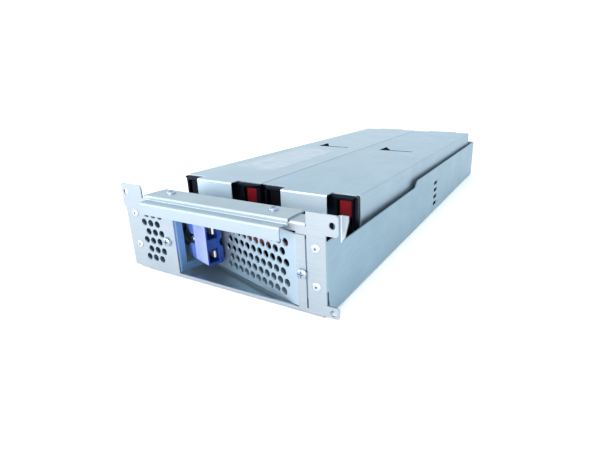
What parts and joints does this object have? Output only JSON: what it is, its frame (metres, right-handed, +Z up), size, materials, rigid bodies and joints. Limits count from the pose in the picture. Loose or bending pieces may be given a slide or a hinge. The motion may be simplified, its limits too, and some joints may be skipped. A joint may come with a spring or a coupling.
{
  "type": "ups battery cartridge",
  "caption": "Steel tray of sealed batteries under two sheet covers, with a perforated front panel, screw ears and a blue power connector in a slanted pocket.",
  "frame": {"origin": "centre of the tray's underside, where it rests", "axes": "+X to the right seen from the front, +Y from the front panel to the rear, +Z up"},
  "size_m": [0.2088, 0.5285, 0.0765],
  "materials": {
    "sheet_steel": "zinc-plated sheet steel, fine even grain, satin",
    "rivet_alloy": "bright aluminium rivet heads",
    "screw_steel": "bright zinc-plated screws",
    "connector_blue": "saturated blue moulded plastic, semi-gloss",
    "tinned_copper": "silvery tinned contact metal",
    "battery_case": "black ABS battery case, satin",
    "boot_red": "dark red soft insulating boot",
    "boot_black": "black soft insulating boot",
    "lead_red": "red silicone-covered lead",
    "lead_black": "black silicone-covered lead"
  },
  "bodies": {
    "root": {"tray": "sheet_steel", "front_panel": "sheet_steel", "perforated_flap": "sheet_steel", "hood": "sheet_steel", "connector_bracket": "sheet_steel", "rivets": "rivet_alloy", "panel_screws": "screw_steel", "hood_screws": "screw_steel", "connector_housing": "connector_blue", "contact_upper": "tinned_copper", "contact_lower": "tinned_copper", "connector_screw": "screw_steel", "battery_left_1": "battery_case", "battery_left_2": "battery_case", "battery_left_3": "battery_case", "battery_left_4": "battery_case", "battery_right_1": "battery_case", "battery_right_2": "battery_case", "battery_right_3": "battery_case", "battery_right_4": "battery_case", "terminals": "tinned_copper", "boots_red": "boot_red", "boots_black": "boot_black", "lead_red": "lead_red", "lead_black": "lead_black", "lead_link": "lead_black", "cover_left": "sheet_steel", "cover_right": "sheet_steel"}
  },
  "joints": []
}
